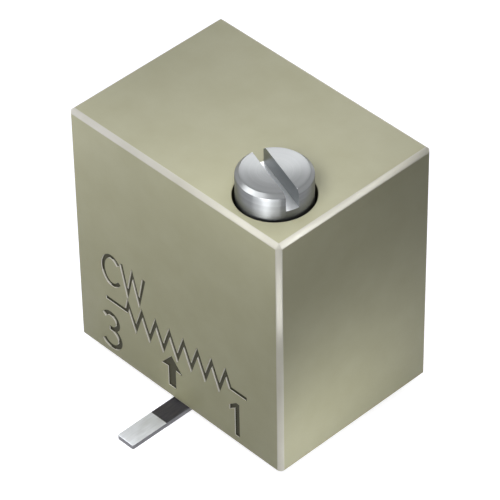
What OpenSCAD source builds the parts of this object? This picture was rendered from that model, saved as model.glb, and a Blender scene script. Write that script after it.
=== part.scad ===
// Multi-turn surface-mount trimmer potentiometer of the quarter-inch size, top adjusted.
// A slotted worm screw turns a toothed rotor. The rotor sweeps a spring contact round a
// printed track on a ceramic plate, and three flat leads carry the circuit to the board.
// The origin is on the board under the middle of the body. +Z is up and -Y is the marked front.
// All sizes are in millimetres.

/* [Body] */
// Width of the body, side to side
body_w = 6.35; // [6.25:0.05:6.6]
// Depth of the body, front to back
body_d = 4.5; // [4.2:0.05:5]
// Height of the body
body_h = 6.5; // [6.2:0.05:7]
// Flat cut along the outer edges
edge_cut = 0.095; // [0.04:0.005:0.16]
// Walls at the sides and top of the rear recess
wall = 0.3; // [0.26:0.01:0.32]
// Floor under the rear recess
floor_t = 0.4; // [0.3:0.01:0.5]
// Gap between the top of the leads and the underside of the body
board_gap = 0.03; // [0.01:0.01:0.1]

/* [Adjustment screw] */
// Distance of the screw's axis from the right-hand face
screw_from_side = 1.26; // [1.2:0.01:1.3]
// Distance of the screw's axis from the front face
screw_from_front = 1.13; // [1.1:0.01:1.2]
// Diameter of the head
head_d = 1.65; // [1.62:0.01:1.72]
// Height of the head above the body
head_rise = 0.63; // [0.5:0.01:0.9]
// Length of the head that sits inside the body
head_sink = 0.42; // [0.3:0.01:0.5]
// Flat cut round the top of the head
head_cut = 0.09; // [0.03:0.01:0.12]
// Width of the driver slot
slot_w = 0.3; // [0.24:0.01:0.5]
// Depth of the driver slot
slot_depth = 0.43; // [0.3:0.01:0.5]
// Turn of the driver slot away from the front face
slot_angle = -18; // [-90:1:90]
// Gap round the head in its bore
head_gap = 0.065; // [0.03:0.005:0.09]
// Diameter of the necks that hold the seal ring and the clip
neck_d = 0.9; // [0.8:0.01:1]
// Diameter of the collars beside the clip
collar_d = 1.46; // [1.3:0.01:1.5]
// Thickness of the collar between the seal ring and the clip
collar_h = 0.22; // [0.15:0.01:0.3]
// Diameter of the plain journal at the foot of the screw
journal_d = 0.6; // [0.5:0.01:0.68]
// Length of that journal
journal_l = 0.35; // [0.2:0.01:0.5]
// Thickness of the plain shoulder between the clip and the worm
shoulder_h = 0.38; // [0.3:0.01:0.5]
// Thickness of the body under the foot of the worm
worm_foot = 1.75; // [1.6:0.01:1.9]
// Play at the journal and at the ends of the turning parts
play = 0.03; // [0.02:0.005:0.05]

/* [Worm and rotor teeth] */
// Teeth on the rotor, one for each full turn of the single-start worm
gear_teeth = 16; // [16:1:16]
// Module of the teeth
gear_module = 0.24; // [0.23:0.005:0.245]
// Pitch radius of the worm
worm_pitch_r = 0.62; // [0.6:0.005:0.63]
// Height of tooth and thread above the pitch line
addendum = 0.19; // [0.16:0.005:0.2]
// Depth of tooth and thread below the pitch line
dedendum = 0.25; // [0.23:0.005:0.27]
// Pressure angle of the flanks
pressure_angle = 20; // [16:1:22]
// Thinning of tooth and thread for a free mesh
backlash = 0.05; // [0.04:0.005:0.08]
// Gap round the worm in its bore
worm_gap = 0.05; // [0.03:0.01:0.08]

/* [Rotor] */
// Thickness of the rotor's toothed rim
rotor_t = 1.12; // [1:0.01:1.14]
// Gap between the tips of the teeth and the pocket
pocket_gap = 0.07; // [0.04:0.01:0.09]
// Diameter of the front journal
rotor_journal_d = 1; // [0.8:0.01:1.2]
// Length of the front journal
rotor_journal_l = 0.28; // [0.2:0.01:0.3]
// Inner radius of the groove for the end stop
stop_inner_r = 0.75; // [0.7:0.01:0.85]
// Outer radius of the groove for the end stop
stop_outer_r = 1.25; // [1.15:0.01:1.4]
// Depth of that groove
stop_groove = 0.32; // [0.2:0.01:0.4]
// Swing of the rotor from end to end
rotor_swing = 270; // [240:1:280]
// Swing past each end before the lug meets the stop
stop_margin = 2; // [1:0.5:4]
// Half angle of the lug in the groove
lug_half = 9; // [6:1:14]
// Diameter of the rear post that the contact is staked on
post_d = 0.64; // [0.5:0.01:0.7]
// Diameter of the flattened head on that post
post_head_d = 0.94; // [0.84:0.01:1]
// Thickness of that head
post_head_t = 0.14; // [0.1:0.01:0.2]
// Diameter of the pin that locates the contact
locator_d = 0.16; // [0.12:0.01:0.2]

/* [Spring contact] */
// Gap between the rotor and the ceramic plate
contact_room = 0.56; // [0.5:0.01:0.66]
// Thickness of the contact's base
contact_base_t = 0.08; // [0.05:0.01:0.1]
// Thickness of each finger
finger_t = 0.05; // [0.04:0.005:0.07]
// Width of each finger
finger_w = 0.08; // [0.07:0.005:0.09]
// Spacing of the fingers
finger_pitch = 0.11; // [0.1:0.005:0.115]
// Fingers on each brush
finger_count = 3; // [2:1:3]
// Length of a finger from the base's bar to the crown that touches the film
finger_l = 0.6; // [0.55:0.01:0.62]
// Width of the bar that joins the brushes
bar_w = 0.24; // [0.2:0.01:0.26]
// Gap left between a finger's crown and the film it sweeps
finger_gap = 0.01; // [0.005:0.005:0.02]

/* [Element] */
// Thickness of the ceramic plate
plate_t = 0.6; // [0.5:0.01:0.7]
// Gap between the plate and the walls of the recess
plate_gap = 0.03; // [0.01:0.01:0.05]
// Thickness of the printed films
film_t = 0.03; // [0.02:0.005:0.04]
// Mean radius of the resistive track
track_r = 1.55; // [1.5:0.01:1.57]
// Width of the resistive track
track_w = 0.44; // [0.38:0.01:0.48]
// Mean radius of the collector ring
collector_r = 0.72; // [0.7:0.01:0.76]
// Width of the collector ring
collector_w = 0.44; // [0.38:0.01:0.5]
// Width of the printed lines that lead to the pads
line_w = 0.34; // [0.24:0.01:0.4]
// Width of the pads under the leads
pad_w = 0.64; // [0.58:0.01:0.66]

/* [Leads] */
// Width of the leads
lead_w = 0.5; // [0.42:0.01:0.52]
// Thickness of the leads
lead_t = 0.12; // [0.1:0.01:0.15]
// Distance of the outer leads from the middle of the body
lead_offset = 1.27; // [1.2:0.01:1.4]
// Reach of each lead beyond the body
lead_reach = 1.6; // [1.2:0.05:2]
// Inner radius of the bend
bend_r = 0.1; // [0.08:0.01:0.12]
// Height of the soldered tab above the recess floor
tab_h = 0.6; // [0.5:0.01:0.7]
// Small cut at the corners of the lead's tip
tip_cut = 0.05; // [0.02:0.01:0.1]
// Clearance round the leads in the floor
lead_gap = 0.03; // [0.02:0.005:0.04]
// Spread of the solder beyond the edge of a tab
solder_spread = 0.07; // [0.04:0.01:0.07]

/* [Seal and clip] */
// Thickness of the seal ring's cord
ring_cord = 0.42; // [0.38:0.01:0.43]
// Thickness of the retaining clip
clip_t = 0.2; // [0.15:0.01:0.25]
// Width of the retaining clip
clip_w = 2; // [1.9:0.01:2.05]
// Reach of the clip in front of the screw's axis
clip_front = 0.72; // [0.65:0.01:0.78]
// Clearance round the clip in its slot
clip_gap = 0.02; // [0.01:0.005:0.03]
// Depth of the sealing resin below the rear rim
resin_sink = 0.1; // [0.05:0.01:0.2]
// Depth of the dish left in the resin's back as it set
resin_dish = 0.12; // [0.06:0.01:0.16]
// Distance from a wall over which the resin climbs it
resin_climb = 0.5; // [0.3:0.05:0.8]

/* [Hidden] */
$fn = 72;

// An overlap that only makes a cut run clean through a face
eps = 0.01;
// Sides of the worm's section, and slices in each turn of its thread
worm_sides = 32;
worm_slices = 16;
// Points on each flank of a rotor tooth
flank_steps = 5;

// Heights of the body above the board
body_z0 = lead_t + board_gap;
body_z1 = body_z0 + body_h;
floor_z = body_z0 + floor_t;
ceiling_z = body_z1 - wall;
recess_half_w = body_w / 2 - wall;

// Depths, from the front face to the back
front_y = -body_d / 2;
back_y = body_d / 2;
screw_x = body_w / 2 - screw_from_side;
screw_y = front_y + screw_from_front;
rotor_front_y = screw_y - rotor_t / 2;
rotor_back_y = screw_y + rotor_t / 2;
pocket_y = rotor_front_y - play;
seat_y = rotor_back_y + contact_room;
film_y = seat_y - film_t;
plate_back_y = seat_y + plate_t;
resin_y = back_y - resin_sink;
recess_mid_z = (floor_z + ceiling_z) / 2;
recess_half_h = (ceiling_z - floor_z) / 2;

// The worm and the toothed rotor
gear_pitch_r = gear_module * gear_teeth / 2;
gear_tip_r = gear_pitch_r + addendum;
gear_root_r = gear_pitch_r - dedendum;
gear_base_r = gear_pitch_r * cos(pressure_angle);
thread_pitch = PI * gear_module;
tooth_t = thread_pitch / 2 - backlash;
worm_tip_r = worm_pitch_r + addendum;
worm_root_r = worm_pitch_r - dedendum;
lead_angle = atan(thread_pitch / (2 * PI * worm_pitch_r));
pocket_r = gear_tip_r + pocket_gap;
rotor_x = screw_x - worm_pitch_r - gear_pitch_r;
rotor_z = (body_z0 + body_z1) / 2;
stop_half = 180 - rotor_swing / 2 - stop_margin - lug_half;

// Levels along the screw, from the top down
head_bottom_z = body_z1 - head_sink;
seal_bottom_z = head_bottom_z - ring_cord - 2 * eps;
collar_bottom_z = seal_bottom_z - collar_h;
clip_z = collar_bottom_z - play - clip_t;
shoulder_z = clip_z - play;
worm_top_z = shoulder_z - shoulder_h;
worm_bottom_z = body_z0 + worm_foot;
worm_l = worm_top_z - worm_bottom_z;
journal_bottom_z = worm_bottom_z - journal_l;

// The leads and their soldered tabs
tab_y = film_y - lead_t / 2;
tab_top_z = floor_z + tab_h;
plate_bottom_z = floor_z + plate_gap;
line_top_z = rotor_z - collector_r;
notch_front_y = tab_y - lead_t / 2 - bend_r;
LEADS = [lead_offset, 0, -lead_offset];

// The contact points up at rest. Its brushes stand on the track and on the collector ring.
brush_half = finger_pitch * (finger_count - 1) / 2 + finger_w / 2;
bar_u0 = -finger_l - bar_w;

// A rectangle with its four corners cut off
module cut_rectangle(w, h, cut) {
    polygon([[cut - w / 2, -h / 2], [w / 2 - cut, -h / 2], [w / 2, cut - h / 2], [w / 2, h / 2 - cut],
             [w / 2 - cut, h / 2], [cut - w / 2, h / 2], [-w / 2, h / 2 - cut], [-w / 2, cut - h / 2]]);
}

// A block with all twelve edges cut off, centred
module cut_block(w, d, h, cut) {
    intersection() {
        linear_extrude(h, center = true) cut_rectangle(w, d, cut);
        rotate([90, 0, 0]) linear_extrude(d, center = true) cut_rectangle(w, h, cut);
        rotate([90, 0, 90]) linear_extrude(w, center = true) cut_rectangle(d, h, cut);
    }
}

// A box between two corners
module box(low, high) {
    translate(low) cube(high - low);
}

// Stands its children up so that their Z axis runs from front to back, from the plane at y
module facing_back(x, y, z) {
    translate([x, y, z]) rotate([-90, 0, 0]) children();
}

// A cylinder that runs from front to back between two planes
module cross_cylinder(r, x, z, y0, y1) {
    facing_back(x, y0, z) cylinder(r = r, h = y1 - y0);
}

// A flat piece of a ring between two radii, spread by half_angle either side of middle
module ring_sector(inner, outer, middle, half_angle) {
    reach = outer / cos(half_angle > 60 ? 60 : half_angle) + eps;
    intersection() {
        difference() {
            circle(outer);
            circle(inner);
        }
        if (half_angle < 60)
            rotate(middle) polygon([[0, 0], reach * [cos(half_angle), -sin(half_angle)],
                                    reach * [cos(half_angle), sin(half_angle)]]);
        else
            difference() {
                circle(2 * reach);
                rotate(middle + 180) wedge(180 - half_angle, 3 * reach);
            }
    }
}

// A flat wedge along +X, from the origin, of any half angle under 90 degrees
module wedge(half_angle, reach) {
    polygon([[0, 0], reach * [cos(half_angle), -sin(half_angle)], reach * [1, 0] / cos(half_angle),
             reach * [cos(half_angle), sin(half_angle)]]);
}

// A flat printed line with round ends
module printed_line(from, to, w) {
    run = to - from;
    translate(from) rotate(atan2(run[1], run[0])) translate([0, -w / 2]) square([norm(run), w]);
    translate(from) circle(w / 2);
    translate(to) circle(w / 2);
}

// A film on the front of the plate, from a flat shape seen from the front
module film() {
    translate([0, seat_y, 0]) rotate([90, 0, 0]) linear_extrude(film_t) children();
}

// The moulded body: a plain block outside, with pockets that open at the back
module housing() {
    color([0.60, 0.58, 0.48]) difference() {
        translate([0, 0, (body_z0 + body_z1) / 2]) cut_block(body_w, body_d, body_h, edge_cut);
        // Recess for the ceramic plate and the resin behind it
        box([-recess_half_w, seat_y, floor_z], [recess_half_w, back_y + eps, ceiling_z]);
        // Shallow relief in the ledge for the printed lines and pads
        box([-recess_half_w, film_y - play, floor_z], [recess_half_w, seat_y + eps, line_top_z + play]);
        rotor_pocket();
        screw_bore();
        clip_slot();
        for (x = LEADS) lead_passage(x);
    }
}

// Round pocket for the rotor, with its journal bearing and the fixed end stop left standing
module rotor_pocket() {
    difference() {
        cross_cylinder(pocket_r, rotor_x, rotor_z, pocket_y, seat_y + eps);
        facing_back(rotor_x, pocket_y - eps, rotor_z)
            linear_extrude(stop_groove - 2 * play + eps)
                ring_sector(stop_inner_r + play, stop_outer_r - play, 90, stop_half);
    }
    cross_cylinder(rotor_journal_d / 2 + play, rotor_x, rotor_z, pocket_y - rotor_journal_l - play, pocket_y + eps);
}

// Stepped bore for the screw, blind at the foot
module screw_bore() {
    translate([screw_x, screw_y, seal_bottom_z])
        cylinder(d = head_d + 2 * head_gap, h = body_z1 - seal_bottom_z + eps);
    translate([screw_x, screw_y, worm_bottom_z - play])
        cylinder(r = worm_tip_r + worm_gap, h = seal_bottom_z - worm_bottom_z + play + eps);
    translate([screw_x, screw_y, journal_bottom_z - play])
        cylinder(d = journal_d + 2 * play, h = journal_l + eps);
}

// Slot from the rear recess to the screw's neck
module clip_slot() {
    box([screw_x - clip_w / 2 - clip_gap, screw_y - clip_front - clip_gap, clip_z - clip_gap],
        [screw_x + clip_w / 2 + clip_gap, seat_y + eps, clip_z + clip_t + clip_gap]);
}

// Way out through the floor for one lead, and room in front of its soldered tab
module lead_passage(x) {
    half_notch = lead_w / 2 + lead_gap;
    half_room = lead_w / 2 + solder_spread + eps / 2;
    box([x - half_notch, notch_front_y, body_z0 - eps], [x + half_notch, back_y + eps, floor_z + eps]);
    intersection() {
        box([x - half_room, notch_front_y, floor_z], [x + half_room, seat_y + eps, tab_top_z + solder_spread + play]);
        box([-recess_half_w, notch_front_y - eps, floor_z], [recess_half_w, seat_y + 2 * eps, body_z1]);
    }
}

// Radius of the worm's cross-section at an angle from the middle of its thread
function worm_section_r(angle) =
    let (from_middle = thread_pitch * min(angle, 360 - angle) / 360,
         rise = (tooth_t / 2 - from_middle) / tan(pressure_angle))
    worm_pitch_r + max(-dedendum, min(addendum, rise));

// The threaded part: one right-hand thread, with a gap facing the rotor at the rotor's height
module worm_thread() {
    turns = worm_l / thread_pitch;
    translate([screw_x, screw_y, worm_bottom_z])
        rotate(-360 * (rotor_z - worm_bottom_z) / thread_pitch)
            linear_extrude(worm_l, twist = -360 * turns, slices = ceil(turns * worm_slices), segments = worm_sides)
                polygon([for (i = [0:worm_sides - 1])
                    let (a = 360 * i / worm_sides) worm_section_r(a) * [cos(a), sin(a)]]);
}

// A plain turned length of the screw between two heights
module turned(d, z0, z1) {
    translate([screw_x, screw_y, z0]) cylinder(d = d, h = z1 - z0);
}

// The screw, turned from one bar: head, seal neck, collar, clip neck, shoulder, worm and journal
module adjustment_screw() {
    top_z = body_z1 + head_rise;
    color([0.78, 0.79, 0.81]) difference() {
        union() {
            turned(head_d, head_bottom_z, top_z - head_cut);
            translate([screw_x, screw_y, top_z - head_cut])
                cylinder(d1 = head_d, d2 = head_d - 2 * head_cut, h = head_cut);
            turned(neck_d, seal_bottom_z, head_bottom_z);
            turned(collar_d, collar_bottom_z, seal_bottom_z);
            turned(neck_d, shoulder_z, collar_bottom_z);
            turned(collar_d, worm_top_z, shoulder_z);
            worm_thread();
            turned(journal_d, journal_bottom_z, shoulder_z);
        }
        translate([screw_x, screw_y, top_z - slot_depth]) rotate(slot_angle)
            translate([-head_d, -slot_w / 2, 0]) cube([2 * head_d, slot_w, slot_depth + eps]);
    }
}

// Rubber ring in the groove under the head
module seal_ring() {
    color([0.08, 0.08, 0.08])
        translate([screw_x, screw_y, seal_bottom_z + eps + ring_cord / 2])
            rotate_extrude() translate([neck_d / 2 + ring_cord / 2, 0]) circle(d = ring_cord);
}

// Flat fork pushed in from the back, which keeps the screw from rising
module retaining_clip() {
    mouth = neck_d / 2 + play;
    color([0.72, 0.66, 0.45]) translate([0, 0, clip_z]) difference() {
        box([screw_x - clip_w / 2, screw_y - clip_front, 0], [screw_x + clip_w / 2, seat_y - play, clip_t]);
        translate([screw_x, screw_y, -eps]) cylinder(r = mouth, h = clip_t + 2 * eps);
        box([screw_x - mouth, screw_y - clip_front - eps, -eps], [screw_x + mouth, screw_y, clip_t + eps]);
    }
}

// Involute function, in degrees
function involute(angle) = 180 / PI * tan(angle) - angle;

// Half the angle that a tooth fills at a radius
function tooth_half_angle(r) =
    90 * tooth_t / (PI * gear_pitch_r) + involute(pressure_angle)
    - (r > gear_base_r ? involute(acos(gear_base_r / r)) : 0);

// One involute tooth along +X, drawn square to its length
module tooth_outline() {
    top_r = gear_tip_r + eps;
    radii = concat([gear_root_r - 4 * eps],
                   [for (i = [0:flank_steps]) gear_base_r + (top_r - gear_base_r) * i / flank_steps]);
    last = len(radii) - 1;
    polygon(concat([for (r = radii) r * [cos(tooth_half_angle(r)), -sin(tooth_half_angle(r))]],
                   [for (i = [last:-1:0]) let (r = radii[i])
                       r * [cos(tooth_half_angle(r)), sin(tooth_half_angle(r))]]));
}

// The toothed rim, with every tooth leaning to follow the thread
module gear_rim() {
    cylinder(r = gear_root_r, h = rotor_t);
    intersection() {
        cylinder(r = gear_tip_r, h = rotor_t);
        for (i = [0:gear_teeth - 1])
            rotate(360 * i / gear_teeth) translate([0, 0, rotor_t / 2]) rotate([-lead_angle, 0, 0])
                linear_extrude(1.3 * rotor_t, center = true) tooth_outline();
    }
}

// The moulded rotor: toothed rim, front journal, end-stop lug, and rear post with its flattened head
module rotor_gear() {
    post_z = rotor_t + contact_base_t;
    color([0.88, 0.86, 0.80]) facing_back(rotor_x, rotor_front_y, rotor_z) {
        difference() {
            gear_rim();
            translate([0, 0, -eps]) linear_extrude(stop_groove + eps)
                ring_sector(stop_inner_r, stop_outer_r, 90, 180 - lug_half);
        }
        translate([0, 0, -rotor_journal_l]) cylinder(d = rotor_journal_d, h = rotor_journal_l);
        translate([0, 0, rotor_t]) cylinder(d = post_d, h = contact_base_t);
        translate([0, 0, post_z]) cylinder(d = post_head_d, h = post_head_t);
        locator_place() cylinder(d = locator_d, h = contact_base_t + film_t);
    }
}

// Where the locating pin stands on the rotor's back, in the rotor's own frame
module locator_place() {
    translate([bar_u0 + bar_w / 2, 0, rotor_t]) children();
}

// Side view of one finger: a strip that rises from the base and rolls over at its crown
module finger_outline() {
    rise = contact_room - film_t - finger_gap;
    crown_u = 0.08;
    crown = rise - finger_t;
    lift = contact_base_t - finger_t;
    u0 = bar_u0 + finger_t;
    u1 = finger_t - finger_l;
    tip_u = crown_u + 0.16;
    polygon([[u0, lift], [u1, lift], [-crown_u, crown], [crown_u / 2, crown], [tip_u, crown - 0.09],
             [tip_u + 0.02, crown - 0.09 + finger_t], [crown_u / 2 + 0.01, rise], [-crown_u - 0.02, rise],
             [u1 - 0.02, contact_base_t], [u0, contact_base_t]]);
}

// One brush: a row of fingers side by side, centred at a radius from the rotor's axis
module brush(radius) {
    for (i = [0:finger_count - 1])
        translate([0, -radius + finger_pitch * (i - (finger_count - 1) / 2), 0])
            rotate([90, 0, 0]) linear_extrude(finger_w, center = true) finger_outline();
}

// The stamped spring contact: a base staked to the rotor, and two brushes
module wiper_contact() {
    bar_half = track_r + brush_half + eps;
    color([0.80, 0.68, 0.38]) facing_back(rotor_x, rotor_back_y, rotor_z) {
        difference() {
            linear_extrude(contact_base_t) {
                circle(collector_r - brush_half - play);
                translate([bar_u0, -bar_half]) square([bar_w, bar_half + bar_w]);
                translate([bar_u0, -bar_w]) square([-bar_u0, 2 * bar_w]);
            }
            translate([0, 0, -eps]) cylinder(d = post_d, h = contact_base_t + 2 * eps);
            translate([0, 0, -rotor_t]) locator_place()
                translate([0, 0, -eps]) cylinder(d = locator_d, h = contact_base_t + 2 * eps);
        }
        brush(track_r);
        brush(collector_r);
    }
}

// Ceramic plate that seats on the ledge of the recess
module element_plate() {
    half = recess_half_w - plate_gap;
    color([0.93, 0.92, 0.88])
        box([-half, seat_y, plate_bottom_z], [half, plate_back_y, ceiling_z - plate_gap]);
}

// Printed resistive track, open at the bottom
module resistive_track() {
    color([0.14, 0.13, 0.12]) film() translate([rotor_x, rotor_z])
        ring_sector(track_r - track_w / 2, track_r + track_w / 2, 90, track_half);
}

// Half the sweep of the track, a little more than the rotor's swing, and of the metal at each end
track_half = rotor_swing / 2 + 5;
end_half = 5;

// Pad under a lead, seen from the front
module pad(x) {
    half = min(pad_w / 2, recess_half_w - plate_gap - abs(x));
    translate([x - half, plate_bottom_z]) square([2 * half, tab_top_z + solder_spread - plate_bottom_z]);
}

// Metal film from one end of the track to its pad; side is 1 on the right and -1 on the left
module end_conductor(side) {
    middle = 90 - side * (track_half + end_half);
    start = [rotor_x, rotor_z] + track_r * [cos(middle), sin(middle)];
    x = side * lead_offset;
    color([0.80, 0.80, 0.82]) film() {
        difference() {
            union() {
                translate([rotor_x, rotor_z])
                    ring_sector(track_r - track_w / 2, track_r + track_w / 2, middle, end_half);
                printed_line(start, [x - side * 0.05, tab_top_z - line_w / 2], line_w);
            }
            translate([rotor_x, rotor_z])
                ring_sector(track_r - track_w, track_r + track_w, 90, track_half);
        }
        pad(x);
    }
}

// Metal ring inside the track, with its line to the middle pad
module collector_ring() {
    inner = collector_r - collector_w / 2;
    color([0.80, 0.80, 0.82]) film() {
        translate([rotor_x, rotor_z]) difference() {
            circle(collector_r + collector_w / 2);
            circle(inner);
        }
        printed_line([rotor_x, rotor_z - collector_r], [rotor_x / 2, tab_top_z + line_w], line_w);
        printed_line([rotor_x / 2, tab_top_z + line_w], [0, tab_top_z - line_w / 2], line_w);
        pad(0);
    }
}

// Side view of a lead bent towards +Y: soldered tab, bend and flat foot of a given reach
module lead_outline(reach) {
    bend_z = lead_t + bend_r;
    translate([-lead_t / 2, bend_z]) square([lead_t, tab_top_z - bend_z]);
    translate([lead_t / 2 + bend_r, bend_z]) intersection() {
        difference() {
            circle(bend_r + lead_t);
            circle(bend_r);
        }
        translate([-2 * bend_z, -2 * bend_z]) square(2 * bend_z);
    }
    translate([lead_t / 2 + bend_r, 0]) square([reach - lead_t / 2 - bend_r, lead_t]);
}

// A lead whose foot runs to the back (side 1) or to the front (side -1)
module lead(x, side) {
    reach = lead_reach + (side > 0 ? back_y - tab_y : tab_y - front_y);
    translate([x, tab_y, 0]) mirror([0, side > 0 ? 0 : 1, 0]) intersection() {
        rotate([90, 0, 90]) linear_extrude(lead_w, center = true) lead_outline(reach);
        linear_extrude(tab_top_z + eps)
            polygon([[-lead_w / 2, -lead_t], [lead_w / 2, -lead_t], [lead_w / 2, reach - tip_cut],
                     [lead_w / 2 - tip_cut, reach], [tip_cut - lead_w / 2, reach],
                     [-lead_w / 2, reach - tip_cut]]);
    }
}

module terminal_1() {
    color([0.75, 0.75, 0.76]) lead(lead_offset, 1);
}

module terminal_2() {
    color([0.75, 0.75, 0.76]) lead(0, -1);
}

module terminal_3() {
    color([0.75, 0.75, 0.76]) lead(-lead_offset, 1);
}

// Solder fillet round the sides and top of one tab
module solder_joint(x) {
    foot = solder_spread;
    side_half = lead_w / 2;
    base_z = plate_bottom_z;
    color([0.70, 0.71, 0.73]) difference() {
        intersection() {
            translate([x, film_y, base_z]) linear_extrude(tab_top_z + foot - base_z)
                polygon([[-side_half - foot, 0], [-side_half, -lead_t], [side_half, -lead_t], [side_half + foot, 0]]);
            translate([x, film_y, 0]) rotate([90, 0, 90]) linear_extrude(2 * lead_w, center = true)
                polygon([[0, base_z], [-lead_t, base_z], [-lead_t, tab_top_z], [0, tab_top_z + foot]]);
        }
        box([x - side_half, film_y - lead_t - eps, base_z - eps], [x + side_half, film_y + eps, tab_top_z]);
    }
}

// A trough along Z, flat in the middle, that curves up to the resin's rim on both sides
module resin_trough(half_w, l) {
    curve_r = (resin_climb ^ 2 + resin_dish ^ 2) / (2 * resin_dish);
    flat_half = half_w - resin_climb;
    bottom_y = resin_y - resin_dish;
    box([-flat_half, bottom_y, -l / 2], [flat_half, back_y, l / 2]);
    for (side = [-1, 1])
        translate([side * flat_half, bottom_y + curve_r, 0]) cylinder(r = curve_r, h = l, center = true);
}

// Dish in the resin's back: a trough each way, and what both have in common is cut
module resin_hollow() {
    translate([0, 0, recess_mid_z]) intersection() {
        resin_trough(recess_half_w, 2 * recess_half_h);
        rotate([0, 90, 0]) resin_trough(recess_half_h, 2 * recess_half_w);
    }
}

// Resin that closes the back of the body and the passages of the leads
module resin_seal() {
    color([0.66, 0.60, 0.44]) difference() {
        union() {
            box([-recess_half_w, plate_back_y, floor_z], [recess_half_w, resin_y, ceiling_z]);
            for (x = LEADS)
                box([x - lead_w / 2 - lead_gap, notch_front_y, body_z0], [x + lead_w / 2 + lead_gap, resin_y, floor_z]);
        }
        lead(lead_offset, 1);
        lead(0, -1);
        lead(-lead_offset, 1);
        resin_hollow();
    }
}

housing();
adjustment_screw();
seal_ring();
retaining_clip();
rotor_gear();
wiper_contact();
element_plate();
resistive_track();
collector_ring();
end_conductor(1);  // end_conductor_1
end_conductor(-1);  // end_conductor_3
terminal_1();
terminal_2();
terminal_3();
solder_joint(lead_offset);  // solder_joint_1
solder_joint(0);  // solder_joint_2
solder_joint(-lead_offset);  // solder_joint_3
resin_seal();
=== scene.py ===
import math

import bmesh
import bpy
from mathutils import Matrix, Vector


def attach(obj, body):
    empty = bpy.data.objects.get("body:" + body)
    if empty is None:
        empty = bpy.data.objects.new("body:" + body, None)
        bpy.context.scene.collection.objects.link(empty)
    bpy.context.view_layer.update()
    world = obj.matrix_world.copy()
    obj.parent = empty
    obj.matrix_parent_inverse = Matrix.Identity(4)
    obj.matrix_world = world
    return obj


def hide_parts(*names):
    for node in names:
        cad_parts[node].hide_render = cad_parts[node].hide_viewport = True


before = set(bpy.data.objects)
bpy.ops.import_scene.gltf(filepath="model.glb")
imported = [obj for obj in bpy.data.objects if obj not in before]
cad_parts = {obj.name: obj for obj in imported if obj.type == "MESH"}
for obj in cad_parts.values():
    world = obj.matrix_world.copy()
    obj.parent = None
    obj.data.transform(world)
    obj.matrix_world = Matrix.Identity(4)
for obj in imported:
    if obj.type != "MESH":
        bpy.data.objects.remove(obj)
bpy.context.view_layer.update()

# Sizes in millimetres, as in the CAD model. Pieces are drawn at this scale and shrunk to metres at the end.
MM = 0.001
BODY_W, BODY_D = 6.35, 4.5
BODY_Z0, BODY_Z1 = 0.15, 6.65
FRONT_Y, BACK_Y = -BODY_D / 2, BODY_D / 2
# The chamfer of the body's edges, and the finer one that softens it, the screw's head and the leads
EDGE, SOFT = 0.095, 0.012

# The body's hollows: recess and ledge, bores of the screw, slot of the clip, rotor's pocket, lead passages
RECESS_X, RECESS_Z0, RECESS_Z1 = 2.875, 0.55, 6.35
SEAT_Y, RELIEF_Y, RELIEF_Z = 0, -0.06, 2.71
HEAD_BORE_R, MOUTH_RUN = 0.89, 0.03
WORM_BORE_R, WORM_BORE_Z0, WORM_BORE_Z1 = 0.86, 1.87, 5.85
FOOT_BORE_R, FOOT_BORE_Z0, FOOT_BORE_Z1 = 0.33, 1.52, 1.9
CLIP_X0, CLIP_X1, CLIP_Y, CLIP_Z0, CLIP_Z1 = 0.895, 2.935, -1.86, 5.32, 5.56
POCKET_R, POCKET_Y = 2.18, -1.71
BEARING_R, BEARING_Y0, BEARING_Y1 = 0.53, -2.02, -1.6
STOP_R0, STOP_R1, STOP_Y, STOP_T = 0.78, 1.22, -1.92, 0.5
STOP_HALF_DEG, STOP_STEP_DEG = 34, 4
PASSAGE_HALF_W, PASSAGE_Z1, NOTCH_Y = 0.28, 0.6, -0.25
ROOM_HALF_W, ROOM_Z0, ROOM_Z1 = 0.325, 0.5, 1.25
# How far a cutter runs past the ledge, the front face, the back and the screw's top
PAST_SEAT, PAST_FRONT, PAST_BACK, PAST_TOP = 0.1, 0.1, 0.25, 0.2

# The screw, from its foot up to its head
SCREW_X, SCREW_Y = 1.915, -1.12
JOURNAL_R, NECK_R, COLLAR_R, HEAD_R = 0.3, 0.45, 0.73, 0.825
JOURNAL_Z, WORM_TOP_Z, SHOULDER_Z, COLLAR_Z, SEAL_Z, HEAD_Z = 1.55, 4.93, 5.31, 5.57, 5.79, 6.23
HEAD_TOP, HEAD_CUT, HEAD_FOOT_CUT = 7.28, 0.09, 0.03
SLOT_W, SLOT_DEPTH, SLOT_REACH, SLOT_ANGLE = 0.3, 0.43, 1.2, math.radians(-18)
GEAR_MODULE = 0.24
THREAD_PITCH = math.pi * GEAR_MODULE
WORM_PITCH_R, ADDENDUM, DEDENDUM, BACKLASH, FLANK = 0.62, 0.19, 0.25, 0.05, math.radians(20)
# The thread starts just above the foot of its bore and ends just inside the screw's shoulder
THREAD_Z0, THREAD_Z1 = 1.9, 4.945
ROTOR_X, ROTOR_Z = -0.625, 3.4

# The leads
LEAD_W, LEAD_T, LEAD_X, LEAD_REACH = 0.5, 0.12, 1.27, 1.6
TAB_Y, TAB_TOP, BEND_R, TIP_CUT = -0.09, 1.15, 0.1, 0.05
# How much of each lead beside the body is painted darker, as painted shade
SHADE_REACH = 0.6

# The resin: its front and back, the dish's depth, how far from a wall it climbs, and its unevenness
RESIN_Y0, RESIN_Y1, RESIN_DISH, RESIN_CLIMB, RIPPLE = 0.6, 2.15, 0.12, 0.5, 0.006
# Its plugs in the lead passages, and the room that they leave for the plate, the tabs and the bends
PLUG_Y1, PLUG_Z1 = 2.1, 0.7
PLATE_ROOM_Z1, TAB_ROOM_Z1, BEND_ROOM_Z1, BEND_ROOM = 1.0, 1.2, 0.2, 0.03

# The marks are cut to this depth. Their rim is shallower, stands out at the lower left and is painted pale as
# a painted highlight.
MARK_DEPTH, RIM_DEPTH, RIM_SHIFT = 0.032, 0.01, 0.026

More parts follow.
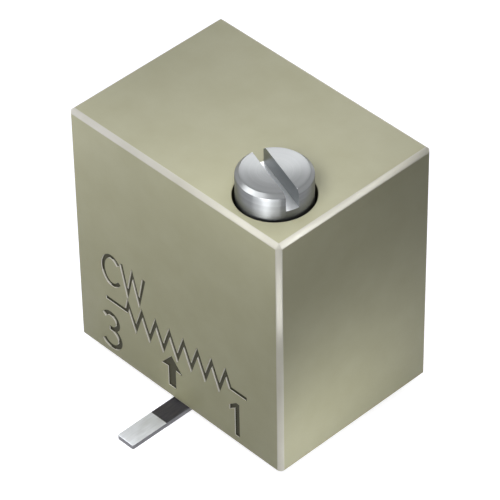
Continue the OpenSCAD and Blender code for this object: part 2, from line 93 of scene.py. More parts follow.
# Tolerances for finding a face by the place of its middle
HAIR, NEAR = 0.001, 0.01


# Materials
def channel(level):
    """Linear value of one screen level of 0 to 255."""
    v = level / 255
    return v / 12.92 if level <= 10 else ((v + 0.055) / 1.055) ** 2.4


def colour(r, g, b):
    """Linear colour from screen levels of 0 to 255."""
    return (channel(r), channel(g), channel(b), 1.0)


def grey(v):
    return (v, v, v, 1.0)


class Nodes:
    """A material and short ways to add and join its nodes."""

    def __init__(self, name):
        self.material = bpy.data.materials.new(name)
        self.material.use_nodes = True
        self.tree = self.material.node_tree
        self.tree.nodes.clear()
        self.shader = self.add("ShaderNodeBsdfPrincipled")
        self.out = self.add("ShaderNodeOutputMaterial")
        self.join(self.shader, "BSDF", self.out, "Surface")
        self.place = self.add("ShaderNodeTexCoord")

    def add(self, kind, **values):
        node = self.tree.nodes.new(kind)
        for key, value in values.items():
            setattr(node, key, value)
        return node

    def join(self, a, out, b, into):
        self.tree.links.new(a.outputs[out], b.inputs[into])

    def noise(self, scale, detail, rough=0.55, stretch=(1, 1, 1), source=None):
        """Noise whose scale is in spots per millimetre."""
        spread = self.add("ShaderNodeMapping")
        spread.inputs["Scale"].default_value = tuple(s / MM for s in stretch)
        self.join(*(source or (self.place, "Object")), spread, "Vector")
        node = self.add("ShaderNodeTexNoise")
        node.inputs["Scale"].default_value = scale
        node.inputs["Detail"].default_value = detail
        node.inputs["Roughness"].default_value = rough
        self.join(spread, "Vector", node, "Vector")
        return node

    def ramp(self, source, low, high, into):
        """Runs from low to high over the middle of a noise, into one socket of the shader."""
        node = self.add("ShaderNodeValToRGB")
        for element, at_value, value in zip(node.color_ramp.elements, (0.3, 0.7), (low, high)):
            element.position = at_value
            element.color = value
        self.join(source, "Fac", node, "Fac")
        self.join(node, "Color", self.shader, into)

    def bump(self, source, strength, height=0.004):
        node = self.add("ShaderNodeBump")
        node.inputs["Strength"].default_value = strength
        node.inputs["Distance"].default_value = height * MM
        self.join(source, "Fac", node, "Height")
        self.join(node, "Normal", self.shader, "Normal")


def plastic(name, low, high, rough=(0.32, 0.42), grain=22, coat=0.25, specular=0.5, relief=0.25):
    """Moulded plastic: faint mottling, a fine grain and a thin gloss."""
    m = Nodes(name)
    m.ramp(m.noise(scale=0.9, detail=4), low, high, "Base Color")
    fine = m.noise(scale=grain, detail=2)
    m.ramp(fine, grey(rough[0]), grey(rough[1]), "Roughness")
    m.bump(fine, relief)
    m.shader.inputs["Specular IOR Level"].default_value = specular
    m.shader.inputs["Coat Weight"].default_value = coat
    m.shader.inputs["Coat Roughness"].default_value = 0.2
    return m.material


def worked_metal(m, grain, low, high, rough, strength):
    """Sets the colour, the roughness and the fine relief of a metal from its grain."""
    m.ramp(grain, low, high, "Base Color")
    m.ramp(grain, grey(rough[0]), grey(rough[1]), "Roughness")
    m.bump(grain, strength)
    m.shader.inputs["Metallic"].default_value = 1.0
    return m.material


def metal(name, low, high, rough, stretch=(1, 1, 1), scale=6, strength=0.15):
    """Metal with fine marks that run where stretch is small."""
    m = Nodes(name)
    return worked_metal(m, m.noise(scale, 4, 0.6, stretch), low, high, rough, strength)


def turned_metal(name, low, high, rough=(0.28, 0.36), scale=12, strength=0.06, spread=0.8):
    """Metal turned on a lathe: rings about the screw's axis, and highlights drawn out across them."""
    m = Nodes(name)
    from_axis = m.add("ShaderNodeVectorMath", operation="SUBTRACT")
    from_axis.inputs[1].default_value = (SCREW_X * MM, SCREW_Y * MM, 0)
    m.join(m.place, "Object", from_axis, "Vector")
    level = m.add("ShaderNodeVectorMath", operation="MULTIPLY")
    level.inputs[1].default_value = (1, 1, 0)
    m.join(from_axis, "Vector", level, "Vector")
    radius = m.add("ShaderNodeVectorMath", operation="LENGTH")
    m.join(level, "Vector", radius, "Vector")
    parts = m.add("ShaderNodeSeparateXYZ")
    m.join(from_axis, "Vector", parts, "Vector")
    rings = m.add("ShaderNodeCombineXYZ")
    m.join(radius, "Value", rings, "X")
    m.join(parts, "Z", rings, "Z")
    grain = m.noise(scale, 4, 0.6, source=(rings, "Vector"))
    tangent = m.add("ShaderNodeTangent", direction_type="RADIAL", axis="Z")
    m.join(tangent, "Tangent", m.shader, "Tangent")
    m.shader.inputs["Anisotropic"].default_value = spread
    m.shader.inputs["Anisotropic Rotation"].default_value = 0.25
    return worked_metal(m, grain, low, high, rough, strength)


body_plastic = plastic(
    "body_plastic", colour(158, 156, 119), colour(164, 162, 126), rough=(0.38, 0.46), coat=0.0, specular=0.14
)
# Painted highlight: the body's chamfered edges are the body's plastic painted paler.
edge_painted_highlight = plastic("edge_painted_highlight", colour(178, 175, 149), colour(186, 183, 158), coat=0.0)
# Painted highlight: the pale rim at the lower left of each mark.
mark_rim_painted_highlight = plastic("mark_rim_painted_highlight", colour(228, 225, 203), colour(236, 233, 212), coat=0.0)
# Dark ink of the marks, also used as painted shade on the bore's wall round the screw's head.
mark_ink_and_bore_shade = plastic(
    "mark_ink_and_bore_shade", colour(64, 62, 43), colour(72, 70, 50), rough=(0.55, 0.65), coat=0.0, specular=0.2
)
# Painted shade: the steel of the head's side and of the rest of the screw is set darker than the head's top
# face.
screw_steel_painted_shade = turned_metal("screw_steel_painted_shade", colour(110, 112, 113), colour(124, 126, 127))
screw_face = turned_metal("screw_face", colour(124, 126, 127), colour(138, 140, 141), spread=0.4)
slot_steel = metal("slot_steel", colour(128, 132, 134), colour(144, 148, 150), rough=(0.3, 0.42))
# Painted highlight: the slot's floor is steel painted near white, as a painted reflection.
slot_floor_painted_highlight = metal("slot_floor_painted_highlight", colour(226, 228, 230), colour(236, 238, 240), rough=(0.38, 0.48))
lead_tin = metal(
    "lead_tin", colour(214, 217, 222), colour(228, 231, 236), rough=(0.5, 0.6), stretch=(4, 0.5, 4)
)
# Painted shade: the part of each lead beside the body is painted dark.
lead_painted_shade = metal(
    "lead_painted_shade", colour(90, 89, 96), colour(104, 103, 110), rough=(0.4, 0.5), stretch=(4, 0.5, 4)
)
lead_sheared = metal(
    "lead_sheared", colour(98, 98, 100), colour(114, 114, 116), rough=(0.4, 0.5), stretch=(1, 1, 5)
)
resin = plastic(
    "resin", colour(150, 140, 108), colour(164, 153, 120), rough=(0.2, 0.28), grain=5, relief=0.06
)
rubber = plastic("rubber", colour(22, 22, 22), colour(30, 30, 30), rough=(0.5, 0.6), coat=0.0)
rotor_plastic = plastic("rotor_plastic", colour(222, 218, 205), colour(232, 229, 218))
ceramic = plastic("ceramic", colour(236, 234, 226), colour(244, 243, 238), rough=(0.55, 0.7), coat=0.0)
track_film = plastic("track_film", colour(38, 35, 33), colour(52, 48, 45), rough=(0.3, 0.4), coat=0.1)
silver_film = metal("silver_film", colour(190, 190, 194), colour(214, 214, 218), rough=(0.35, 0.5))
spring_alloy = metal("spring_alloy", colour(198, 164, 92), colour(214, 182, 112), rough=(0.2, 0.3))
solder = metal("solder", colour(176, 178, 182), colour(198, 200, 204), rough=(0.2, 0.35), scale=3)


# Mesh building, in millimetres
def make(name, bm):
    """Turns a bmesh into an object of the scene."""
    mesh = bpy.data.meshes.new(name)
    bmesh.ops.recalc_face_normals(bm, faces=bm.faces)
    bm.to_mesh(mesh)
    bm.free()
    obj = bpy.data.objects.new(name, mesh)
    bpy.context.scene.collection.objects.link(obj)
    return obj


def at(x, y, z):
    return Matrix.Translation((x, y, z))


def facing_back(x, y, z):
    """A frame whose own Z runs from front to back, with X kept and its Y up."""
    return at(x, y, z) @ Matrix.Rotation(math.radians(90), 4, "X") @ Matrix.Diagonal((1, 1, -1, 1))


def box(name, low, high):
    """A box between two corners."""
    bm = bmesh.new()
    bmesh.ops.create_cube(bm, size=1)
    centre = (Vector(low) + Vector(high)) / 2
    size = Vector(high) - Vector(low)
    bm.transform(Matrix.Translation(centre) @ Matrix.Diagonal((*size, 1)))
    return make(name, bm)


def ring_of(bm, r, z, count):
    turn = 2 * math.pi / count
    return [bm.verts.new((r * math.cos(turn * i), r * math.sin(turn * i), z)) for i in range(count)]


def bridge(bm, a, b):
    """Joins two closed loops of as many points with faces."""
    for i in range(len(a)):
        j = (i + 1) % len(a)
        bm.faces.new((a[i], a[j], b[j], b[i]))


def stack(bm, rings):
    """Joins a row of closed loops into one solid with both ends shut."""
    for a, b in zip(rings, rings[1:]):
        bridge(bm, a, b)
    bm.faces.new(list(reversed(rings[0])))
    bm.faces.new(rings[-1])


def lathe(name, profile, place, count=144):
    """A closed solid from (radius, height) pairs, from its foot up, turned about Z and put in place."""
    bm = bmesh.new()
    stack(bm, [ring_of(bm, r, z, count) for r, z in profile])
    bm.transform(place)
    return make(name, bm)


def prism(name, outline, height, place):
    """A solid from a flat outline, raised along its own Z."""
    bm = bmesh.new()
    low = [bm.verts.new((x, y, 0)) for x, y in outline]
    high = [bm.verts.new((x, y, height)) for x, y in outline]
    stack(bm, [low, high])
    bm.transform(place)
    return make(name, bm)


def soften(bm, edges, width, segments):
    """Chamfers edges, or rounds them where there are more segments than one."""
    bmesh.ops.bevel(bm, geom=edges, offset=width, segments=segments, affect="EDGES", profile=0.5)


def combine(base, others, operation):
    """Cuts the others from base, or joins them to it."""
    for other in others:
        step = base.modifiers.new("step", "BOOLEAN")
        step.operation = operation
        step.solver = "EXACT"
        step.object = other
        depsgraph = bpy.context.evaluated_depsgraph_get()
        mesh = bpy.data.meshes.new_from_object(base.evaluated_get(depsgraph))
        base.modifiers.clear()
        old = base.data
        base.data = mesh
        bpy.data.meshes.remove(old)
        bpy.data.objects.remove(other)
    return base


def finish_piece(obj, body, materials, replaces, smooth_deg, chosen=None):
    """Cleans a piece, gives it its materials, shrinks it to metres and makes it ride its body."""
    mesh = obj.data
    bm = bmesh.new()
    bm.from_mesh(mesh)
    bmesh.ops.dissolve_degenerate(bm, dist=0.00001, edges=bm.edges[:])
    bm.to_mesh(mesh)
    bm.free()
    mesh.materials.clear()
    for material in materials:
        mesh.materials.append(material)
    for face in mesh.polygons:
        face.use_smooth = True
        face.material_index = chosen(face) if chosen else 0
    mesh.set_sharp_from_angle(angle=math.radians(smooth_deg))
    mesh.transform(Matrix.Scale(MM, 4))
    mesh.update()
    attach(obj, body)
    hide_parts(replaces)
    return obj


def stroke(points, width):
    """The outline of a pen line of a width along points, with sharp corners."""
    sharpest = 0.3
    sides = ([], [])
    for i, p in enumerate(points):
        p = Vector(p)
        before = Vector(points[i - 1]) if i else None
        after = Vector(points[i + 1]) if i + 1 < len(points) else None
        u = (p - before).normalized() if before is not None else (after - p).normalized()
        v = (after - p).normalized() if after is not None else u
        n1, n2 = Vector((-u.y, u.x)), Vector((-v.y, v.x))
        miter = (n1 + n2).normalized()
        reach = width / 2 / max(miter.dot(n1), sharpest)
        sides[0].append(p + miter * reach)
        sides[1].append(p - miter * reach)
    return [tuple(p) for p in sides[0]] + [tuple(p) for p in reversed(sides[1])]


def arc(cx, cy, rx, ry, start, end, steps=28):
    """Points of part of an ellipse, in degrees."""
    angles = [math.radians(start + (end - start) * i / steps) for i in range(steps + 1)]
    return [(cx + rx * math.cos(a), cy + ry * math.sin(a)) for a in angles]


# The marks on the front, as X and height: the turning direction, the terminal numbers and the circuit symbol
TOOTH_COUNT, TOOTH_W, TOOTH_TOP, TOOTH_FOOT = 8, 0.436, 2.10, 1.50
TOP_X, FOOT_X = -1.53, -1.30
zigzag = [(-2.24, 1.86), (-1.58, 1.86)]
for i in range(TOOTH_COUNT):
    zigzag += [(TOP_X + TOOTH_W * i, TOOTH_TOP), (FOOT_X + TOOTH_W * i, TOOTH_FOOT)]
zigzag = zigzag[:-1] + [(1.66, 1.73), (2.16, 1.73)]
letter_c = arc(-2.01, 2.76, 0.28, 0.40, 40, 322)
letter_w = [(-1.70, 3.16), (-1.52, 2.38), (-1.355, 3.07), (-1.16, 2.35), (-0.98, 3.13)]
three_middle = (-2.17, 0.99)
three_top = [three_middle] + arc(-2.12, 1.21, 0.225, 0.22, -82, 155, 24)
three_low = [three_middle] + arc(-2.12, 0.725, 0.28, 0.265, 82, -150, 28)
marks = {
    "mark_c": stroke(letter_c, width=0.1),
    "mark_w": stroke(letter_w, width=0.092),
    "mark_zigzag": stroke(zigzag, width=0.094),
    "mark_three_top": stroke(three_top, width=0.122),
    "mark_three_low": stroke(three_low, width=0.122),
    "mark_one": [
        (1.79, 0.43), (1.925, 0.43), (1.925, 1.40), (1.83, 1.40), (1.63, 1.24), (1.63, 1.10), (1.79, 1.22)
    ],
    "mark_arrow": [
        (-0.29, 0.53), (-0.06, 0.53), (-0.06, 1.08), (0.15, 1.06), (-0.18, 1.44), (-0.50, 1.06), (-0.29, 1.08)
    ],
}


# The body
def outer_block():
    """The body's outside, with chamfered edges that are softened once more."""
    bm = bmesh.new()
    bmesh.ops.create_cube(bm, size=1)
    size = Matrix.Diagonal((BODY_W, BODY_D, BODY_Z1 - BODY_Z0, 1))
    bm.transform(at(0, 0, (BODY_Z0 + BODY_Z1) / 2) @ size)
    soften(bm, bm.edges[:], EDGE, 1)
    soften(bm, bm.edges[:], SOFT, 2)
    return make("housing_shell", bm)


def screw_room():
    """Cutters for the screw's bores and for the slot of its clip."""
    up = at(SCREW_X, SCREW_Y, 0)
    mouth_z = BODY_Z1 - SOFT
    mouth = [(HEAD_BORE_R, mouth_z), (HEAD_BORE_R + MOUTH_RUN, mouth_z + MOUTH_RUN)]
    return [
        lathe("head_bore", [(HEAD_BORE_R, SEAL_Z)] + mouth, up),
        lathe("worm_bore", [(WORM_BORE_R, WORM_BORE_Z0), (WORM_BORE_R, WORM_BORE_Z1)], up),
        lathe("foot_bore", [(FOOT_BORE_R, FOOT_BORE_Z0), (FOOT_BORE_R, FOOT_BORE_Z1)], up),
        box("clip_slot", (CLIP_X0, CLIP_Y, CLIP_Z0), (CLIP_X1, SEAT_Y + PAST_SEAT, CLIP_Z1)),
    ]


def rotor_room():
    """Cutters for the rotor's pocket and for its bearing in the front wall."""
    place = facing_back(ROTOR_X, 0, ROTOR_Z)
    return [
        lathe("rotor_pocket", [(POCKET_R, POCKET_Y), (POCKET_R, SEAT_Y + PAST_SEAT)], place),
        lathe("rotor_bearing", [(BEARING_R, BEARING_Y0), (BEARING_R, BEARING_Y1)], place),
    ]


def rotor_stop():
    """The fixed stop in the pocket's floor, straight below the rotor's axis."""

    def from_below(r, angles):
        return [(r * math.sin(math.radians(a)), -r * math.cos(math.radians(a))) for a in angles]

    outline = from_below(STOP_R0, range(-STOP_HALF_DEG, STOP_HALF_DEG + 1, STOP_STEP_DEG))
    outline += from_below(STOP_R1, range(STOP_HALF_DEG, -STOP_HALF_DEG - 1, -STOP_STEP_DEG))
    return prism("stop", outline, STOP_T, facing_back(ROTOR_X, STOP_Y, ROTOR_Z))


def lead_room(x):
    """Cutters for a lead's way out below the resin, and for its tab and solder."""
    passage_end = (x + PASSAGE_HALF_W, BACK_Y + PAST_BACK, PASSAGE_Z1)
    room_end = (x + ROOM_HALF_W, SEAT_Y + PAST_SEAT, ROOM_Z1)
    return [
        box("passage", (x - PASSAGE_HALF_W, NOTCH_Y, 0), passage_end),
        box("tab_room", (x - ROOM_HALF_W, NOTCH_Y, ROOM_Z0), room_end),
    ]


def mark_cutters():
    """Each mark twice: its shallow rim, moved to the lower left, and then the mark itself."""
    start_y = FRONT_Y - PAST_FRONT
    rim_place = facing_back(-RIM_SHIFT, start_y, -RIM_SHIFT)
    cutters = []
    for name, outline in marks.items():
        cutters.append(prism(name, outline, RIM_DEPTH + PAST_FRONT, rim_place))
        cutters.append(prism(name, outline, MARK_DEPTH + PAST_FRONT, facing_back(0, start_y, 0)))
    return cutters


def housing_shell():
    """The body: an open box with its hollows, the rotor's stop and the marks."""
    shell = outer_block()
    cutters = [
        box("recess", (-RECESS_X, SEAT_Y, RECESS_Z0), (RECESS_X, BACK_Y + PAST_BACK, RECESS_Z1)),
        box("relief", (-RECESS_X, RELIEF_Y, RECESS_Z0), (RECESS_X, SEAT_Y + PAST_SEAT, RELIEF_Z)),
    ]
    cutters += screw_room() + rotor_room()
    for x in (-LEAD_X, 0, LEAD_X):
        cutters += lead_room(x)
    combine(shell, cutters + mark_cutters(), "DIFFERENCE")
    combine(shell, [rotor_stop()], "UNION")
    plain, pale, dark, rim = range(4)

    def chosen(face):
        """The edges are pale as a painted highlight, the marks dark ink with a pale rim as a painted
        highlight, and the bore round the head dark as painted shade.
        """
        c, n = face.center, face.normal
        from_screw = math.hypot(c.x - SCREW_X, c.y - SCREW_Y)
        from_side = min(abs(abs(c.x) - BODY_W / 2), abs(abs(c.y) - BODY_D / 2))
        from_end = min(abs(c.z - BODY_Z0), abs(c.z - BODY_Z1))
        depth = c.y - FRONT_Y
        slanted = sum(abs(v) > 0.2 for v in n) >= 2
        at_edge = min(from_side, from_end) < EDGE + NEAR / 2
        at_mark = abs(c.x) < 3 and 0.3 < c.z < 6 and RIM_DEPTH - HAIR < depth < MARK_DEPTH + HAIR
        # Painted highlight on the body's chamfered edges
        if slanted and at_edge and from_screw > HEAD_BORE_R + MOUTH_RUN + NEAR:
            return pale
        if at_mark:
            # Painted highlight on the marks' rims, dark ink in the marks
            return rim if n.y < -0.9 and depth < MARK_DEPTH - NEAR else dark
        # Painted shade: the bore's wall round the head is dark.
        if abs(n.z) < 0.5 and SEAL_Z < c.z < BODY_Z1 and from_screw < HEAD_BORE_R + NEAR:
            return dark
        return plain

    finishes = [body_plastic, edge_painted_highlight, mark_ink_and_bore_shade, mark_rim_painted_highlight]
    return finish_piece(shell, "body", finishes, "housing", smooth_deg=25, chosen=chosen)


# The screw
def thread(count=96, per_turn=36):
    """The worm: one right-hand thread with straight flanks, as slices whose outline turns with the height."""
    half = (THREAD_PITCH / 2 - BACKLASH) / 2
    steps = round((THREAD_Z1 - THREAD_Z0) / THREAD_PITCH * per_turn)
    bm = bmesh.new()
    rings = []
    for s in range(steps + 1):
        z = THREAD_Z0 + (THREAD_Z1 - THREAD_Z0) * s / steps
        turn = 2 * math.pi * (z - ROTOR_Z) / THREAD_PITCH
        ring = []
        for i in range(count):
            a = 2 * math.pi * i / count
            away = THREAD_PITCH * abs((a - turn + math.pi) % (2 * math.pi) - math.pi) / (2 * math.pi)
            r = WORM_PITCH_R + max(-DEDENDUM, min(ADDENDUM, (half - away) / math.tan(FLANK)))
            ring.append(bm.verts.new((r * math.cos(a), r * math.sin(a), z)))
        rings.append(ring)
    stack(bm, rings)
    bm.transform(at(SCREW_X, SCREW_Y, 0))
    return make("thread", bm)


def screw():
    """The screw: its turned profile, the thread and the slot across its head."""
    up = at(SCREW_X, SCREW_Y, 0)
    cut_z = HEAD_TOP - HEAD_CUT
    face_r = HEAD_R - HEAD_CUT
    corner = SOFT * 0.4
    profile = [
        (JOURNAL_R, JOURNAL_Z), (JOURNAL_R, WORM_TOP_Z), (COLLAR_R, WORM_TOP_Z), (COLLAR_R, SHOULDER_Z),
        (NECK_R, SHOULDER_Z), (NECK_R, COLLAR_Z), (COLLAR_R, COLLAR_Z), (COLLAR_R, SEAL_Z),
        (NECK_R, SEAL_Z), (NECK_R, HEAD_Z),
        (HEAD_R - HEAD_FOOT_CUT, HEAD_Z), (HEAD_R, HEAD_Z + HEAD_FOOT_CUT),
        (HEAD_R, cut_z - SOFT), (HEAD_R - corner, cut_z + corner),
        (face_r + corner, HEAD_TOP - corner), (face_r - SOFT, HEAD_TOP),
    ]
    piece = lathe("slotted_screw", profile, up)
    combine(piece, [thread()], "UNION")
    slot_end = (SLOT_REACH, SLOT_W / 2, HEAD_TOP + PAST_TOP)
    slot = box("slot", (-SLOT_REACH, -SLOT_W / 2, HEAD_TOP - SLOT_DEPTH), slot_end)
    slot.data.transform(up @ Matrix.Rotation(SLOT_ANGLE, 4, "Z"))
    combine(piece, [slot], "DIFFERENCE")
    across = Vector((-math.sin(SLOT_ANGLE), math.cos(SLOT_ANGLE), 0))
    plain, wall, floor_face, top = range(4)

    def chosen(face):
        """The slot's walls and the head's top have finishes of their own; the slot's floor is painted pale as
        a painted highlight, and the rest is steel set darker as painted shade.
        """
        c, n = face.center, face.normal
        in_depth = HEAD_TOP - SLOT_DEPTH - NEAR < c.z < HEAD_TOP - HAIR
        in_width = abs((c - Vector((SCREW_X, SCREW_Y, c.z))).dot(across)) < SLOT_W / 2 + NEAR
        if in_depth and in_width and abs(n.dot(across)) > 0.9:
            return wall
        # Painted highlight on the slot's floor
        if in_depth and in_width and n.z > 0.9:
            return floor_face
        return top if c.z > cut_z - NEAR / 2 and n.z > 0.3 else plain

    finishes = [screw_steel_painted_shade, slot_steel, slot_floor_painted_highlight, screw_face]
    return finish_piece(piece, "screw", finishes, "adjustment_screw", smooth_deg=25, chosen=chosen)


# The leads
def lead(number, x, side):
    """A lead with a rounded bend, softly sheared edges and painted shade, a darker zone, beside the body.

    A side of 1 is for a lead that leaves the body at the back, and -1 for one at the front.
    """
    tip = LEAD_REACH + (BACK_Y - TAB_Y if side > 0 else TAB_Y - FRONT_Y)
    shade_end = tip - LEAD_REACH + SHADE_REACH
    cx, cz = LEAD_T / 2 + BEND_R, LEAD_T + BEND_R
    inner = arc(cx, cz, BEND_R, BEND_R, 180, 270, 10)
    outer = arc(cx, cz, BEND_R + LEAD_T, BEND_R + LEAD_T, 180, 270, 10)
    outline = [(-LEAD_T / 2, TAB_TOP)] + outer[:-1] + [(cx, 0), (shade_end, 0), (tip, 0)]
    outline += [(tip, LEAD_T), (shade_end, LEAD_T)] + list(reversed(inner)) + [(LEAD_T / 2, TAB_TOP)]
    bm = bmesh.new()
    left = [bm.verts.new((-LEAD_W / 2, u, z)) for u, z in outline]
    right = [bm.verts.new((LEAD_W / 2, u, z)) for u, z in outline]
    bridge(bm, left, right)
    bm.faces.new(left)
    bm.faces.new(right)
    bmesh.ops.recalc_face_normals(bm, faces=bm.faces)

    def upright_at_tip(edge):
        a, b = (v.co for v in edge.verts)
        return abs(a.y - tip) < HAIR and abs(b.y - tip) < HAIR and abs(a.x - b.x) < HAIR

    soften(bm, [e for e in bm.edges if upright_at_tip(e)], TIP_CUT, 3)
    rims = [e for e in bm.edges if len(e.link_faces) == 2 and e.calc_face_angle(0) > 0.9]
    soften(bm, rims, SOFT, 2)
    bm.transform(at(x, TAB_Y, 0) @ Matrix.Diagonal((1, side, 1, 1)))
    piece = make(f"lead_{number}", bm)
    tinned, dark_by_body, sheared = range(3)

    def chosen(face):
        if abs(face.normal.z) < 0.5:
            return sheared
        # Painted shade: the part beside the body is darker.
        return dark_by_body if (face.center.y - TAB_Y) * side < shade_end - HAIR else tinned

    finishes = [lead_tin, lead_painted_shade, lead_sheared]
    return finish_piece(piece, "body", finishes, f"terminal_{number}", smooth_deg=40, chosen=chosen)


# The resin at the back, with a shallow dish where it wetted the walls
def resin_dish_at(u, v):
    """Depth of the dish at a place of the back, which runs from -1 to 1 both ways."""
    curve_r = (RESIN_CLIMB ** 2 + RESIN_DISH ** 2) / (2 * RESIN_DISH)
    from_wall = min((1 - abs(u)) * RECESS_X, (1 - abs(v)) * (RECESS_Z1 - RECESS_Z0) / 2)
    run = max(0, RESIN_CLIMB - from_wall)
    rise = curve_r - math.sqrt(curve_r ** 2 - run ** 2)
    ripple = RIPPLE * math.sin(3.1 * u + 1.3 * v) * math.cos(2.3 * v - 0.7 * u)
    return (RESIN_DISH - rise) * (1 - abs(ripple) / RESIN_DISH)


def resin_block(count=46):
    """The resin in the recess: a flat front, a dished back, and count steps each way."""
    bm = bmesh.new()
    front, back = [], []
    for j in range(count + 1):
        front.append([])
        back.append([])
        for i in range(count + 1):
            u, v = 2 * i / count - 1, 2 * j / count - 1
            x, z = u * RECESS_X, (RECESS_Z0 + RECESS_Z1) / 2 + v * (RECESS_Z1 - RECESS_Z0) / 2
            front[-1].append(bm.verts.new((x, RESIN_Y0, z)))
            back[-1].append(bm.verts.new((x, RESIN_Y1 - resin_dish_at(u, v), z)))
    for j in range(count):
        for i in range(count):
            bm.faces.new((front[j][i], front[j][i + 1], front[j + 1][i + 1], front[j + 1][i]))
            bm.faces.new((back[j][i], back[j + 1][i], back[j + 1][i + 1], back[j][i + 1]))
    rim = [(0, i) for i in range(count + 1)] + [(j, count) for j in range(1, count + 1)]
    rim += [(count, i) for i in range(count - 1, -1, -1)] + [(j, 0) for j in range(count - 1, 0, -1)]
    for (a, b), (c, d) in zip(rim, rim[1:] + rim[:1]):
        bm.faces.new((front[a][b], back[a][b], back[c][d], front[c][d]))
    return make("resin_back", bm)


def resin_back():
    """The resin with its plugs round the leads, less what the plate and the leads take up."""
    piece = resin_block()
    low, high = (-PASSAGE_HALF_W, NOTCH_Y, BODY_Z0), (PASSAGE_HALF_W, PLUG_Y1, PLUG_Z1)
    plugs = []
    for x in (-LEAD_X, 0, LEAD_X):
        shift = Vector((x, 0, 0))
        plugs.append(box("plug", Vector(low) + shift, Vector(high) + shift))
    combine(piece, plugs, "UNION")
    clear = [box("clear", (-3, -1, RECESS_Z0 + 2 * HAIR), (3, RESIN_Y0, PLATE_ROOM_Z1))]
    for x, side in ((-LEAD_X, 1), (0, -1), (LEAD_X, 1)):
        x0, x1 = x - LEAD_W / 2, x + LEAD_W / 2
        y0, y1 = (NOTCH_Y + 0.05, TAB_Y + BEND_ROOM) if side < 0 else (TAB_Y - BEND_ROOM, BACK_Y + PAST_BACK)
        clear.append(box("clear", (x0, TAB_Y - LEAD_T / 2, 0), (x1, TAB_Y + LEAD_T / 2, TAB_ROOM_Z1)))
        clear.append(box("clear", (x0, y0, 0), (x1, y1, BEND_ROOM_Z1)))
    combine(piece, clear, "DIFFERENCE")
    return finish_piece(piece, "body", [resin], "resin_seal", smooth_deg=35)


housing = housing_shell()
slotted_screw = screw()
lead(1, LEAD_X, 1)
front_lead = lead(2, 0, -1)
lead(3, -LEAD_X, 1)
resin_back()

# Materials of the sealed inner pieces, whose CAD solids stay as they are
inner = {
    "seal_ring": rubber,
    "retaining_clip": spring_alloy,
    "rotor_gear": rotor_plastic,
    "wiper_contact": spring_alloy,
    "element_plate": ceramic,
    "resistive_track": track_film,
    "collector_ring": silver_film,
    "end_conductor_1": silver_film,
    "end_conductor_3": silver_film,
    "solder_joint_1": solder,
    "solder_joint_2": solder,
    "solder_joint_3": solder,
}
for node, material in inner.items():
    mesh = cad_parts[node].data
    mesh.materials.clear()
    mesh.materials.append(material)


# Floor
def seen_directly(tree):
    """1 for rays from the camera and for those off a mirror or through glass, 0 for all others."""
    path = tree.nodes.new("ShaderNodeLightPath")
    total = path.outputs["Is Camera Ray"]
    for name in ("Is Glossy Ray", "Is Transmission Ray"):
        both = tree.nodes.new("ShaderNodeMath")
        both.operation = "MAXIMUM"
        tree.links.new(total, both.inputs[0])
        tree.links.new(path.outputs[name], both.inputs[1])
        total = both.outputs["Value"]
    return total


def floor_paper(shade=0.6, brightness=0.87):
    """Pale paper that also glows where it is seen, so that it is white outside the shadow."""
    material = bpy.data.materials.new("floor_paper")
    material.use_nodes = True
    tree = material.node_tree
    paper = tree.nodes["Principled BSDF"]
    paper.inputs["Base Color"].default_value = grey(shade)
    paper.inputs["Roughness"].default_value = 0.9
    paper.inputs["Emission Color"].default_value = (1, 1, 1, 1)
    glow = tree.nodes.new("ShaderNodeMath")
    glow.operation = "MULTIPLY"
    glow.inputs[1].default_value = brightness
    tree.links.new(seen_directly(tree), glow.inputs[0])
    tree.links.new(glow.outputs["Value"], paper.inputs["Emission Strength"])
    return material


# The floor's half width and its drop below the leads, in metres
FLOOR_HALF_M, FLOOR_DROP_M = 0.6, 0.00002
floor_bm = bmesh.new()
bmesh.ops.create_grid(floor_bm, x_segments=1, y_segments=1, size=FLOOR_HALF_M)
floor_bm.transform(at(0, 0, -FLOOR_DROP_M))
floor = make("floor", floor_bm)
floor.data.materials.append(floor_paper())


# Light
def softbox(name, place, aim, width, height, radiance, tint=(1, 1, 1), mirrored_in=()):
    """A rectangular lamp that the camera doesn't see.

    A plain one lights all pieces softly and is mirrored in none. One that is mirrored in some pieces
    makes glints on those and lights nothing else.
    """
    data = bpy.data.lights.new(name, "AREA")
    data.shape = "RECTANGLE"
    data.size = width * MM
    data.size_y = height * MM
    data.energy = radiance * math.pi * data.size * data.size_y
    data.color = tint
    lamp = bpy.data.objects.new(name, data)
    lamp.location = Vector(place) * MM
    lamp.rotation_euler = (Vector(place) - Vector(aim)).to_track_quat("Z", "Y").to_euler()
    lamp.visible_camera = False
    lamp.visible_glossy = bool(mirrored_in)
    lamp.visible_diffuse = not mirrored_in
    bpy.context.scene.collection.objects.link(lamp)
    if mirrored_in:
        pieces = bpy.data.collections.new(name + "_pieces")
        for piece in mirrored_in:
            pieces.objects.link(piece)
        lamp.light_linking.receiver_collection = pieces


BODY_MIDDLE = (0, 0, 3.4)
HEAD_MIDDLE = (1.9, -1.1, 7)
COOL, LESS_COOL, FAINTLY_COOL = (0.96, 0.97, 1.28), (0.97, 0.98, 1.2), (0.98, 0.99, 1.1)

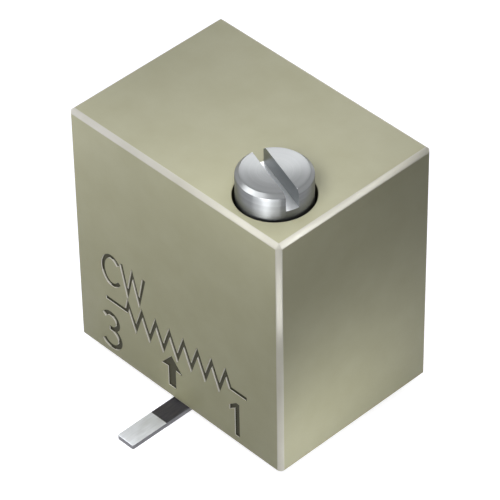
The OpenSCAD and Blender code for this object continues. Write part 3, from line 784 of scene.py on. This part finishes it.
# Soft light on the body: its back and left, its top, its front and the foot of its right face
softbox("back_left", (-40, 40, 50), BODY_MIDDLE, 50, 50, 2.4, COOL)
softbox("back_fill", (-8, 60, 10), BODY_MIDDLE, 40, 30, 4.5)
softbox("top_front", (3.5, -5.7, 13), (2.2, -1.9, 6.6), 5, 5, 9.0, LESS_COOL)
softbox("top_corner", (5.2, -4.6, 11), (3, -2, 6.6), 3, 3, 2.3, COOL)
softbox("top_back", (-1, 5, 13), (-1, 1, 6.6), 6, 6, 1.6, COOL)
softbox("top_right", (2.2, 1.2, 12), (2.4, 1.2, 6.6), 3, 3, 2.6, COOL)
softbox("left_near", (-5, -5, 8), (-2.5, -2.2, 6), 3, 3, 4.7, COOL)
softbox("front_left", (-7, -7, 3), (-3, -2.2, 3), 4, 4, 2.0)
softbox("right_foot", (6.5, -0.8, 0.6), (3.2, -0.3, 1.5), 4.6, 0.8, 6.0, FAINTLY_COOL)
softbox("foot_corner", (5.2, -2.3, 0.5), (3.2, -1.5, 0.9), 1.6, 0.6, 4.8, COOL)
softbox("foot_front", (7.5, -2.6, 0.8), (3.2, -1.5, 1.0), 3, 1.2, 2.0, COOL)
softbox("front_middle", (0.3, -8, 3.2), (0.3, -2.2, 3.2), 5, 4, 0.75)

# Glints on the screw's head and on the front lead. Those on the head's side overlap, so their ends are soft.
on_screw, on_lead = [slotted_screw], [front_lead]
softbox("glint_on_top", (-3.2, 3.8, 11.3), (1.9, -1.1, 7.3), 5, 3, 2.9, mirrored_in=on_screw)
for width, radiance in ((3, 26.0), (7, 13.0), (12, 11.0)):
    name = f"glint_on_side_{width}"
    softbox(name, (5.6, -9.3, 6.05), (1.9, -1.1, 6.95), width, 2.2, radiance, mirrored_in=on_screw)
softbox("glint_on_rim_front", (1.0, -7.1, 12.2), (1.9, -1.1, 7.2), 6, 3, 3.0, mirrored_in=on_screw)
softbox("glint_on_rim", (-4, -12, 12), HEAD_MIDDLE, 8, 6, 5.0, mirrored_in=on_screw + on_lead)
softbox("glint_on_lead", (4, -30, 12), (0, -3, 0.1), 9, 14, 68.0, mirrored_in=on_lead)

# Glints on the body's edges at its nearest corner
on_body = [housing]
softbox("glint_on_edge", (5.3, 0.9, 7.95), (3.2, -0.4, 6.6), 4.4, 1.0, 10.0, mirrored_in=on_body)
softbox("glint_by_corner", (5.0, -0.9, 8.0), (3.2, -2.2, 6.6), 1.2, 1.2, 10.0, mirrored_in=on_body)
softbox("glint_left_of_corner", (1.2, -3.9, 7.9), (2.5, -2.2, 6.6), 1.6, 1.2, 6.0, mirrored_in=on_body)
softbox("glint_below_corner", (4.4, -3.5, 3.9), (3.2, -2.3, 5.5), 1.4, 1.6, 9.5, mirrored_in=on_body)


def background(tree, strength):
    node = tree.nodes.new("ShaderNodeBackground")
    node.inputs["Color"].default_value = (1, 1, 1, 1)
    node.inputs["Strength"].default_value = strength
    return node


# World: white where it is seen or mirrored, and nearly dark as a light
world = bpy.data.worlds.new("studio")
bpy.context.scene.world = world
world.use_nodes = True
tree = world.node_tree
tree.nodes.clear()
seen = background(tree, 1.0)
lit = background(tree, 0.03)
mix = tree.nodes.new("ShaderNodeMixShader")
out = tree.nodes.new("ShaderNodeOutputWorld")
tree.links.new(seen_directly(tree), mix.inputs["Fac"])
tree.links.new(lit.outputs["Background"], mix.inputs[1])
tree.links.new(seen.outputs["Background"], mix.inputs[2])
tree.links.new(mix.outputs["Shader"], out.inputs["Surface"])

# Camera, in metres and degrees, as fitted to the photo's seven visible corners
camera_data = bpy.data.cameras.new("camera")
camera_data.lens = 252.72
camera_data.sensor_width = 36.0
camera_data.clip_start = 0.002
camera_data.clip_end = 5.0
camera = bpy.data.objects.new("camera", camera_data)
camera.location = (0.041075, -0.039192, 0.053495)
camera.rotation_euler = tuple(math.radians(a) for a in (48.4625, 0.71, 45.7314))
bpy.context.scene.collection.objects.link(camera)
bpy.context.scene.camera = camera
bpy.context.scene.view_settings.view_transform = "Standard"
